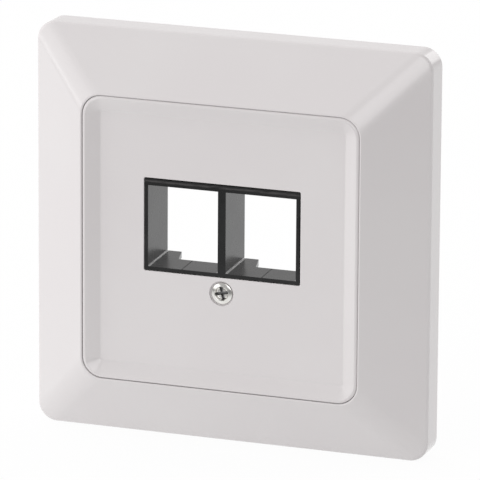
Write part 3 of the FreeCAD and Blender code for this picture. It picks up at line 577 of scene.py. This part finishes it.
PLATE_HALF, PLATE_CORNER = 27.97, 3.97
SLOPE_FOOT, SLOPE_TOP = 24.75, 27.35      # the slope round the field, from the middle
FIELD_FRONT, FIELD_BACK = 11.2, 9.4       # the field's two faces
SKIRT_HALF, SKIRT_CORNER, SKIRT_BACK = 26.4, 2.4, 8.7
HOLE_RADIUS, BOSS_RADIUS, BOSS_BACK = 1.65, 2.9, 6.7
APERTURE = (15.85, 9.175)                 # half the width and half the height
APERTURE_MIDDLE = (0.0, 3.2)
COLLAR_WALL, COLLAR_BACK = 1.3, 7.2
RIB_BACK, RIB_EASE = 7.8, 0.1

# A profile's first and last corners only give it a direction: their points are cut off.
# The rim, from the field's edge round the outside to the face behind the field.
rim = eased(
    [
        (20.0, FIELD_FRONT, 0.5, 0.01), (SLOPE_FOOT, FIELD_FRONT, 0.5, 0.7), (SLOPE_TOP, LIP_FRONT, 3.35, 0.2),
        (PLATE_HALF, LIP_FRONT, PLATE_CORNER, 0.45), (PLATE_HALF, SKIRT_BACK, PLATE_CORNER, 0.12),
        (SKIRT_HALF, SKIRT_BACK, SKIRT_CORNER, 0.12), (SKIRT_HALF, FIELD_BACK, SKIRT_CORNER, 0.3),
        (20.0, FIELD_BACK, SKIRT_CORNER, 0.01),
    ],
    6,
)[7:-7]
rim_points = carried(rim)
# The opening's wall runs back into the collar, and returns on the collar's outside.
opening = eased(
    [
        (3.0, FIELD_FRONT, 0.3, 0.01), (0.0, FIELD_FRONT, 0.3, 0.15), (0.0, COLLAR_BACK, 0.3, 0.1),
        (COLLAR_WALL, COLLAR_BACK, 0.6, 0.1), (COLLAR_WALL, FIELD_BACK, 0.6, 0.15),
        (3.0, FIELD_BACK, 0.6, 0.01),
    ],
    4,
)[5:-5]
opening_points = carried(opening, around=4, centre=APERTURE_MIDDLE, lean=APERTURE)
# The screw's hole: a shallow counterbore, a countersink, and a bore that stops at the face behind.
sink = eased(
    [
        (4.0, FIELD_FRONT, 0, 0.01), (2.45, FIELD_FRONT, 0, 0.06), (2.45, 10.7, 0, 0.05),
        (2.17, 10.7, 0, 0.02), (HOLE_RADIUS, 10.18, 0, 0.06), (HOLE_RADIUS, FIELD_BACK, 0, 0.01),
        (4.0, FIELD_BACK, 0, 0.01),
    ],
    3,
)[4:-4]
sink_points = turned(sink, SCREW_AXIS, 48)[0]
field = flat_face(FIELD_FRONT, rim_points[0], [opening_points[0], sink_points[0]])
behind = flat_face(FIELD_BACK, rim_points[-1], [opening_points[-1], sink_points[-1]])


def band(points):
    """A grid of points that closes round but not across."""
    return points, grid_faces(points.shape[0], points.shape[1], close_rows=False)


# The boss and the ribs run 0.05 mm into the field.
BURIED = FIELD_BACK + 0.05
boss_profile = eased(
    [
        (HOLE_RADIUS, BOSS_BACK, 0, 0.08), (BOSS_RADIUS, BOSS_BACK, 0, 0.12),
        (BOSS_RADIUS, BURIED, 0, 0.02), (HOLE_RADIUS, BURIED, 0, 0.02),
    ],
    3,
)
boss = turned(boss_profile, SCREW_AXIS, 48)


def rib(x0, x1, z0, z1):
    """A bar behind the field: an eased profile carried round it, and a flat face at each end."""
    half_x, half_z = (x1 - x0) / 2, (z1 - z0) / 2
    inner = min(half_x, half_z) - RIB_EASE - 0.01
    rows = eased(
        [
            (0, BURIED, RIB_EASE, RIB_EASE), (0, RIB_BACK, RIB_EASE, RIB_EASE),
            (-inner, RIB_BACK, RIB_EASE, 0.001), (-inner, BURIED, RIB_EASE, 0.001),
        ],
        3,
    )[:8]
    points = carried(rows, around=4, centre=((x0 + x1) / 2, (z0 + z1) / 2), lean=(half_x, half_z))
    rings, count = points.shape[:2]
    faces = grid_faces(rings, count, close_rows=False).tolist()
    faces.append(list(range(count)))
    faces.append(list(range((rings - 1) * count, rings * count)))
    return points, faces


ribs = [
    rib(-26.0, -17.0, 2.65, 3.75), rib(17.0, 26.0, 2.65, 3.75),
    rib(-7.65, -6.55, 13.5, 26.0), rib(6.55, 7.65, 13.5, 26.0),
    rib(-7.65, -6.55, -26.0, -7.1), rib(6.55, 7.65, -26.0, -7.1),
]
shells = [band(rim_points), band(opening_points), band(sink_points), field, behind, boss] + ribs
plate = make_piece("plate_moulding", shells, merge=4e-7)
dress(plate, white)
dress(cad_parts["centre_plate"], white)
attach(plate, "root")
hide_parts("centre_plate")


# --- centre screw -----------------------------------------------------------------------------------
# One M3 screw draws the plate to the carrier's insert.  It is steel, cold headed and rolled, with a
# raised countersunk head and a cross recess, and it is nickel plated.

HEAD_TOP, DOME_RADIUS = 11.4, 5.46
HEAD_RADIUS, HEAD_EDGE, HEAD_BACK = 2.1, 10.95, 10.67  # the upright edge lies between the last two
NECK_RADIUS, NECK_FRONT = 1.47, 10.04
SHANK_RADIUS, SHANK_END = 1.45, -1.35
CROSS_HALF, CROSS_ARM, CROSS_DEEP = 1.42, 0.32, 0.45   # half its length, half an arm's width, its depth
MOUTH_RADIUS, MOUTH_DEEP = 1.45, 0.62
CROSS_TURN = math.radians(12)
GRID_TURN = 0.5                                        # where the head's grid starts, in radians


def cross_recess(x, z):
    """How much of the recess lies at a place: 1 inside the cross, 0 outside, with a soft edge.

    Two bars cross; a bar's share falls from 1 to 0 over 0.14 mm at its sides and 0.2 mm at its ends.
    """
    def bar(along, across):
        side = np.clip((CROSS_ARM - np.abs(across)) / 0.14, 0, 1)
        end = np.clip((CROSS_HALF - np.abs(along)) / 0.20, 0, 1)
        return side * end

    share = np.maximum(bar(x, z), bar(z, x))
    return share * share * (3 - 2 * share)


def screw_head():
    """The dome is a sphere's cap, front = top - (R - sqrt(R^2 - r^2)), less three hollows.

    They are a round mouth whose wall is a smooth step 0.45 mm wide, a cone 0.12 mm deep at its
    middle, and the cross.  Below the edge, a cone runs down to the neck and a flat closes it.
    """
    r = np.concatenate([np.linspace(0, 1.56, 62), np.linspace(1.6, 2.07, 12)])[:, None]
    t = np.linspace(0, 2 * math.pi, 192, endpoint=False)[None, :] + GRID_TURN
    x, z = r * np.cos(t), r * np.sin(t)
    u = x * math.cos(CROSS_TURN) + z * math.sin(CROSS_TURN)
    v = z * math.cos(CROSS_TURN) - x * math.sin(CROSS_TURN)
    cap = HEAD_TOP - (DOME_RADIUS - np.sqrt(DOME_RADIUS**2 - r**2))
    mouth = np.clip((MOUTH_RADIUS - r) / 0.45, 0, 1)
    bowl = MOUTH_DEEP * mouth * mouth * (3 - 2 * mouth) + 0.12 * np.clip(1 - r, 0, 1)
    dome = np.stack([x, bowl + CROSS_DEEP * cross_recess(u, v) - cap, z], 2)
    corners = [(HEAD_RADIUS, HEAD_BACK, 0, 0.05), (NECK_RADIUS, NECK_FRONT, 0, 0.1), (0.0, NECK_FRONT, 0, 0.01)]
    neck = eased(corners, 3)[4:8, :2]
    edge = [[HEAD_RADIUS, HEAD_EDGE], [HEAD_RADIUS, HEAD_BACK + 0.02]]
    profile = np.concatenate([edge, neck, [[0.0, NECK_FRONT]]])
    c, front = profile[:, :1], profile[:, 1:2] + np.zeros_like(t)
    below = np.stack([c * np.cos(t), -front, c * np.sin(t)], 2)
    points = np.concatenate([dome, below]) + np.array([SCREW_AXIS[0], 0, SCREW_AXIS[1]])
    return points, grid_faces(points.shape[0], points.shape[1], close_rows=False)


def screw_wave(r, front, t):
    """The rolled thread: a cosine 0.13 mm each way that fades at the tip and the neck."""
    fade = np.clip((front + 0.9) / 0.5, 0, 1) * np.clip((9.2 - front) / 0.4, 0, 1)
    return 0.13 * (np.cos(2 * math.pi * front / THREAD_PITCH + t) - 1) * fade * (r > 1.2)


shank_profile = eased(
    [
        (0.0, 10.2, 0, 0), (SHANK_RADIUS, 10.2, 0, 0.02), (SHANK_RADIUS, SHANK_END + 0.4, 0, 0.05),
        (SHANK_RADIUS - 0.4, SHANK_END, 0, 0.05), (0.0, SHANK_END, 0, 0),
    ],
    2,
)[2:-2]
shank = turned(lengthened(shank_profile, 0.06, ring=False), SCREW_AXIS, 48, screw_wave, ring=False)


def nickel_plate():
    """Nickel over cold-headed steel: bright, with faint clouds and hairline marks from the driver."""
    finish = Finish("nickel plated steel")
    clouds = finish.noise(900, 3, 0.6)
    hair = finish.noise(1, 2, 0.6, stretch=(2500, 2500, 14000))
    colour = finish.mix(clouds.between(0.3, 0.7), (0.80, 0.79, 0.77, 1), (0.70, 0.69, 0.66, 1))
    # Deep in the recess the colour is darkened to a grey of 0.2: painted shade.
    deep = finish.along("Y").between(-10.75 * MM, -10.4 * MM)
    colour = finish.mix(deep, colour, (0.20, 0.20, 0.20, 1))
    return finish.shade(
        Base_Color=colour, Metallic=1.0, Roughness=0.10 + 0.10 * clouds, Normal=finish.bump(hair, 2e-6)
    )


screw = make_piece("plate_screw", [screw_head(), shank], 60)
dress(screw, nickel_plate())
dress(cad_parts["centre_screw"], screw.data.materials[0])
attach(screw, "root")
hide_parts("centre_screw")


# --- studio -----------------------------------------------------------------------------------------
# The faceplate stands on a plain white table in a white room.  What matt faces get, what gloss mirrors
# and what is seen straight are told apart: the light comes softly from the left and from behind, and
# gloss mirrors a dimmer front with four bright cards.  One soft lamp at the left brings out the edges.

class Room(Finish):
    """The world's nodes, made through the same method as a material's."""

    def __init__(self, name):
        self.material = bpy.data.worlds.new(name)
        self.material.use_nodes = True
        self.tree = self.material.node_tree
        self.tree.nodes.clear()
        self.output = self.tree.nodes.new("ShaderNodeOutputWorld")


def mirrored_room(room, way):
    """What gloss mirrors: white behind, dim in front but paler at the left and above, and bright cards.

    A card is a cone round its direction, and its edge is a smooth step of the angle's cosine.
    """
    behind = room.along("Y", way).between(-0.1, 0.5)
    left = (0.0 - room.along("X", way)).between(0.35, 0.95)
    above = room.along("Z", way).between(-0.15, 0.35)
    front = 0.22 + 0.20 * left + 0.30 * above
    light = front * (1.0 - behind) + 0.85 * behind
    for strength, card, rim, middle in (
        (2.6, (0.409, -0.776, 0.480), 0.90, 0.95),      # in front, above at the right
        (1.3, (-0.59, -0.80, 0.09), 0.955, 0.985),      # in front at the left
        (1.6, (-0.92, -0.36, -0.15), 0.965, 0.99),      # low at the left
        (1.6, (0.26, 0.91, 0.33), 0.965, 0.985),        # behind, above
    ):
        light = light + strength * room.dot(way, card).between(rim, middle)
    return light


def white_room():
    """Matt faces get a soft light, stronger from the left and from behind; seen straight it is white."""
    room = Room("room")
    bpy.context.scene.world = room.material
    seen = room.node("ShaderNodeLightPath", out="Is Camera Ray")
    through = room.node("ShaderNodeLightPath", out="Is Transmission Ray")
    mirrored = room.node("ShaderNodeLightPath", out="Is Glossy Ray")
    way = room.node("ShaderNodeTexCoord", out="Generated")
    back = room.along("Y", way).between(0.0, 0.4)
    side = room.along("X", way).between(0.2, 0.8)
    matt = 0.74 + room.dot(way, (-0.65, -0.40, 0.10)) + 0.45 * back + 0.9 * back * side
    straight = seen + through
    strength = straight + mirrored * mirrored_room(room, way) + (1.0 - straight - mirrored) * matt
    colour = room.mix(straight, (1.0, 0.992, 0.99, 1), (1, 1, 1, 1))
    light = room.node("ShaderNodeBackground", None, {"Color": colour, "Strength": strength})
    room.tree.links.new(light.socket, room.output.inputs[0])


def table_top():
    """A white table that glows by itself, so that it looks white and keeps only a faint shadow.

    Mirrored, it dims towards the front, and what it throws on matt faces falls off to the right.
    """
    finish = Finish("white table")
    finish.shade(Base_Color=(0.93, 0.93, 0.93, 1), Roughness=0.9, Specular_IOR_Level=0.0)
    seen = finish.node("ShaderNodeLightPath", out="Is Camera Ray")
    through = finish.node("ShaderNodeLightPath", out="Is Transmission Ray")
    mirrored = finish.node("ShaderNodeLightPath", out="Is Glossy Ray")
    dim = finish.mix(finish.along("Y").between(-0.20, 0.0), (0.253, 0.253, 0.253, 1), (1.15, 1.15, 1.15, 1))
    matt = finish.mix(finish.along("X").between(-0.15, 0.15), (1, 1, 1, 1), (0.58, 0.58, 0.58, 1))
    straight = seen + through
    colour = finish.mix(straight, finish.mix(mirrored, matt, dim), (1, 1, 1, 1))
    glow = finish.node("ShaderNodeEmission", None, {"Color": colour, "Strength": 1.0})
    share = straight * 0.94 + mirrored + (1.0 - straight - mirrored) * 0.7
    lit = Signal(finish, finish.shader.outputs[0])
    shown = finish.node("ShaderNodeMixShader", None, {0: share, 1: lit, 2: glow})
    finish.tree.links.new(shown.socket, finish.output.inputs[0])
    return finish.material


white_room()
TABLE_HALF, TABLE_BACK = 900, 1500
table_outline = [
    (-TABLE_HALF, -TABLE_HALF), (TABLE_HALF, -TABLE_HALF), (TABLE_HALF, TABLE_BACK), (-TABLE_HALF, TABLE_BACK)
]
table = make_piece("table", [([[x, y, -FRAME_HALF] for x, y in table_outline], [[0, 1, 2, 3]])])
dress(table, table_top())

lamp_light = bpy.data.lights.new("soft lamp", "AREA")
lamp_light.shape = "SQUARE"
lamp_light.size = 0.8
lamp_light.energy = 1.0
lamp = bpy.data.objects.new("soft lamp", lamp_light)
lamp.location = (-0.93, -0.36, 0.10)
lamp.rotation_euler = (-lamp.location).to_track_quat("-Z", "Y").to_euler()
bpy.context.scene.collection.objects.link(lamp)

# The camera looks along an azimuth and down by an elevation, and is turned a little about its own axis.
azimuth, elevation, roll = math.radians(20.049), math.radians(15.025), math.radians(0.351)
ahead = Vector((-math.sin(azimuth), math.cos(azimuth), 0)) * math.cos(elevation)
ahead.z = -math.sin(elevation)
level = Vector((math.cos(azimuth), math.sin(azimuth), 0))
upward = level.cross(ahead)
across = math.cos(roll) * level + math.sin(roll) * upward
upright = math.cos(roll) * upward - math.sin(roll) * level
lens = bpy.data.cameras.new("camera")
lens.sensor_width = 36.0
lens.lens = 417.88
lens.clip_end = 10
camera = bpy.data.objects.new("camera", lens)
turn = Matrix((across, upright, -ahead)).transposed()
camera.matrix_world = Matrix.Translation((0.35437, -0.97204, 0.27644)) @ turn.to_4x4()
bpy.context.scene.collection.objects.link(camera)
bpy.context.scene.camera = camera
bpy.context.scene.view_settings.view_transform = "Standard"
